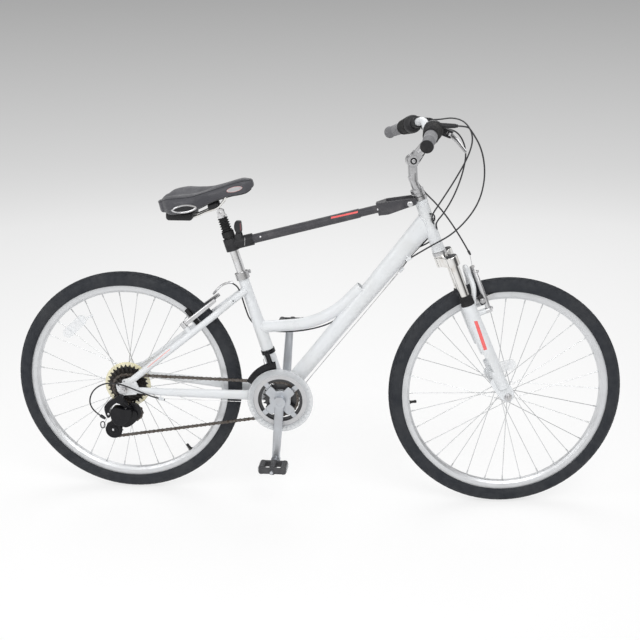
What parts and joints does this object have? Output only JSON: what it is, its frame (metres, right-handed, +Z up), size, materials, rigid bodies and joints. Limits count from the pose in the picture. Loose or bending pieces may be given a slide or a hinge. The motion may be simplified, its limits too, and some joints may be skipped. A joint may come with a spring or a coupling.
{
  "type": "hybrid bicycle",
  "caption": "White low-frame hybrid bicycle with a suspension fork and seatpost, derailleur gears, rim brakes and a telescoping carrier bar between seatpost and head.",
  "frame": {"origin": "on the ground halfway between the two wheel axles, in the bike's middle plane", "axes": "+X forward, +Y to the rider's left, +Z up; the drive side is -Y"},
  "size_m": [1.7135, 0.6026, 1.0879],
  "materials": {
    "white_paint": "gloss",
    "polished_metal": "polished",
    "bare_steel": "satin",
    "rim_metal": "satin",
    "black_paint": "satin",
    "black_plastic": "matte",
    "black_rubber": "matte",
    "tyre_rubber": "matte",
    "chain_steel": "oiled",
    "saddle_skin": "matte",
    "clear_yellow": "clear",
    "clear_grey": "clear"
  },
  "bodies": {
    "frame": {"head_tube": "white_paint", "down_tube": "white_paint", "top_tube": "white_paint", "seat_tube": "white_paint", "bottom_bracket_shell": "white_paint", "chain_stays": "white_paint", "seat_stays": "white_paint", "headset_cups": "polished_metal", "seat_clamp": "polished_metal", "rear_axle": "bare_steel", "carrier_clamp": "black_plastic", "carrier_bar": "black_paint", "front_mech": "black_paint", "rear_mech_body": "black_paint", "rear_mech_cage": "black_paint", "chain": "chain_steel", "brake_cables": "black_rubber", "shift_cables": "black_rubber"},
    "carrier_lever": {"carrier_lever": "black_plastic"},
    "seatpost": {"seatpost": "polished_metal", "seatpost_bellows": "black_rubber"},
    "seat_mast": {"seatpost_piston": "polished_metal"},
    "saddle": {"saddle_rails": "bare_steel", "saddle_base": "black_plastic", "saddle_cover": "saddle_skin"},
    "fork": {"fork_crown": "polished_metal", "stanchions": "polished_metal", "stem_quill": "polished_metal"},
    "cockpit": {"stem_extension": "polished_metal", "handlebar": "white_paint", "grips": "black_rubber", "control_mounts": "black_plastic"},
    "twist_grip_right": {"twist_grip_right": "black_rubber"},
    "twist_grip_left": {"twist_grip_left": "black_rubber"},
    "brake_lever_right": {"brake_lever_right": "polished_metal"},
    "brake_lever_left": {"brake_lever_left": "polished_metal"},
    "fork_lower": {"fork_lowers": "white_paint", "fork_wipers": "black_rubber", "front_axle": "bare_steel"},
    "front_brake_arm_right": {"front_brake_arm_right": "bare_steel"},
    "front_brake_arm_left": {"front_brake_arm_left": "bare_steel"},
    "rear_brake_arm_right": {"rear_brake_arm_right": "bare_steel"},
    "rear_brake_arm_left": {"rear_brake_arm_left": "bare_steel"},
    "front_wheel": {"front_tyre": "tyre_rubber", "front_rim": "rim_metal", "front_spokes": "bare_steel", "front_hub": "polished_metal"},
    "rear_wheel": {"rear_tyre": "tyre_rubber", "rear_rim": "rim_metal", "rear_spokes": "bare_steel", "rear_hub": "polished_metal", "spoke_guard": "clear_yellow"},
    "freewheel": {"freewheel": "black_paint"},
    "crankset": {"crank_arms": "polished_metal", "chainrings": "rim_metal", "chain_guard": "clear_grey"},
    "pedal_right": {"pedal_right": "black_plastic"},
    "pedal_left": {"pedal_left": "black_plastic"},
    "guide_pulley": {"guide_pulley": "black_plastic"},
    "tension_pulley": {"tension_pulley": "black_plastic"}
  },
  "joints": [
    {"name": "steering", "type": "hinge", "parent": "frame", "child": "fork", "pos_m": [0.49748, 0, 0.31151], "axis": [-0.3551, 0, 0.9348], "range_deg": [-60, 45], "deforming": ["brake_cables", "shift_cables"]},
    {"name": "fork_travel", "type": "slide", "parent": "fork", "child": "fork_lower", "axis": [-0.3551, 0, 0.9348], "range_m": [0, 0.05], "stiffness_N_per_m": 12000, "springref_m": -0.008, "deforming": ["brake_cables"]},
    {"name": "stem_tilt", "type": "hinge", "parent": "fork", "child": "cockpit", "pos_m": [0.26399, 0.003, 0.96841], "axis": [-0.1832, 0.9806, -0.0696], "range_deg": [-8, 35], "deforming": ["brake_cables", "shift_cables"]},
    {"name": "front_wheel_spin", "type": "hinge", "parent": "fork_lower", "child": "front_wheel", "pos_m": [0.5327, 0.00489, 0.32489], "axis": [-0.1204, 0.9917, -0.0457], "continuous": true},
    {"name": "rear_wheel_spin", "type": "hinge", "parent": "frame", "child": "rear_wheel", "pos_m": [-0.533, 0, 0.325], "axis": [0, 1, 0], "continuous": true},
    {"name": "crank_spin", "type": "hinge", "parent": "frame", "child": "crankset", "pos_m": [-0.0915, 0, 0.3], "axis": [0, 1, 0], "continuous": true, "deforming": ["chain"]},
    {"name": "freewheel_spin", "type": "hinge", "parent": "frame", "child": "freewheel", "pos_m": [-0.533, 0, 0.325], "axis": [0, 1, 0], "continuous": true},
    {"name": "guide_pulley_spin", "type": "hinge", "parent": "frame", "child": "guide_pulley", "pos_m": [-0.513, -0.0509, 0.248], "axis": [0, 1, 0], "continuous": true},
    {"name": "tension_pulley_spin", "type": "hinge", "parent": "frame", "child": "tension_pulley", "pos_m": [-0.57327, -0.0509, 0.19539], "axis": [0, 1, 0], "continuous": true},
    {"name": "pedal_right_spin", "type": "hinge", "parent": "crankset", "child": "pedal_right", "pos_m": [-0.10365, -0.088, 0.13043], "axis": [0, 1, 0], "continuous": true},
    {"name": "pedal_left_spin", "type": "hinge", "parent": "crankset", "child": "pedal_left", "pos_m": [-0.07934, 0.088, 0.46957], "axis": [0, 1, 0], "continuous": true},
    {"name": "seatpost_height", "type": "slide", "parent": "frame", "child": "seatpost", "axis": [-0.299, 0, 0.9542], "range_m": [0, 0.06]},
    {"name": "seatpost_suspension", "type": "slide", "parent": "seatpost", "child": "seat_mast", "axis": [-0.299, 0, 0.9542], "range_m": [-0.025, 0], "stiffness_N_per_m": 30000, "springref_m": 0.006, "deforming": ["seatpost_bellows"]},
    {"name": "saddle_tilt", "type": "hinge", "parent": "seat_mast", "child": "saddle", "pos_m": [-0.25537, 0, 0.82292], "axis": [0, 1, 0], "range_deg": [-8, 8]},
    {"name": "carrier_lever_swing", "type": "hinge", "parent": "frame", "child": "carrier_lever", "pos_m": [-0.20853, 0, 0.76446], "axis": [0, 1, 0], "range_deg": [0, 80]},
    {"name": "brake_lever_right_pull", "type": "hinge", "parent": "cockpit", "child": "brake_lever_right", "pos_m": [0.35902, -0.11455, 1.05458], "axis": [-0.3466, 0.1566, -0.9248], "range_deg": [0, 20], "stiffness_Nm_per_rad": 2, "springref_deg": -8.59, "deforming": ["brake_cables"]},
    {"name": "twist_grip_right_turn", "type": "hinge", "parent": "cockpit", "child": "twist_grip_right", "pos_m": [0.3023, -0.29026, 1.04607], "axis": [0.0974, 0.9866, 0.1306], "range_deg": [-100, 50]},
    {"name": "brake_lever_left_pull", "type": "hinge", "parent": "cockpit", "child": "brake_lever_left", "pos_m": [0.30822, 0.15742, 1.03528], "axis": [0.2435, 0.3953, 0.8857], "range_deg": [0, 20], "stiffness_Nm_per_rad": 2, "springref_deg": -8.59, "deforming": ["brake_cables"]},
    {"name": "twist_grip_left_turn", "type": "hinge", "parent": "cockpit", "child": "twist_grip_left", "pos_m": [0.1924, 0.2981, 1.00432], "axis": [0.442, -0.8581, 0.2615], "range_deg": [0, 100]},
    {"name": "front_brake_arm_right_swing", "type": "hinge", "parent": "fork_lower", "child": "front_brake_arm_right", "pos_m": [0.47889, -0.03462, 0.57188], "axis": [0.927, 0.1288, 0.3521], "range_deg": [-3.3, 0]},
    {"name": "front_brake_arm_left_swing", "type": "hinge", "parent": "fork_lower", "child": "front_brake_arm_left", "pos_m": [0.4683, 0.05265, 0.56785], "axis": [0.927, 0.1288, 0.3521], "range_deg": [0, 3.3]},
    {"name": "rear_brake_arm_right_swing", "type": "hinge", "parent": "frame", "child": "rear_brake_arm_right", "pos_m": [-0.36086, -0.044, 0.51023], "axis": [0.6219, 0, -0.7831], "range_deg": [-3.3, 0]},
    {"name": "rear_brake_arm_left_swing", "type": "hinge", "parent": "frame", "child": "rear_brake_arm_left", "pos_m": [-0.36086, 0.044, 0.51023], "axis": [0.6219, 0, -0.7831], "range_deg": [0, 3.3]}
  ],
  "couplings": [
    {"joint": "freewheel_spin", "follows": "crank_spin", "ratio": 1.3333},
    {"joint": "guide_pulley_spin", "follows": "crank_spin", "ratio": -2.1818},
    {"joint": "tension_pulley_spin", "follows": "crank_spin", "ratio": 2.1818},
    {"joint": "front_brake_arm_right_swing", "follows": "brake_lever_left_pull", "ratio": -0.16},
    {"joint": "front_brake_arm_left_swing", "follows": "brake_lever_left_pull", "ratio": 0.16},
    {"joint": "rear_brake_arm_right_swing", "follows": "brake_lever_right_pull", "ratio": -0.16},
    {"joint": "rear_brake_arm_left_swing", "follows": "brake_lever_right_pull", "ratio": 0.16}
  ]
}
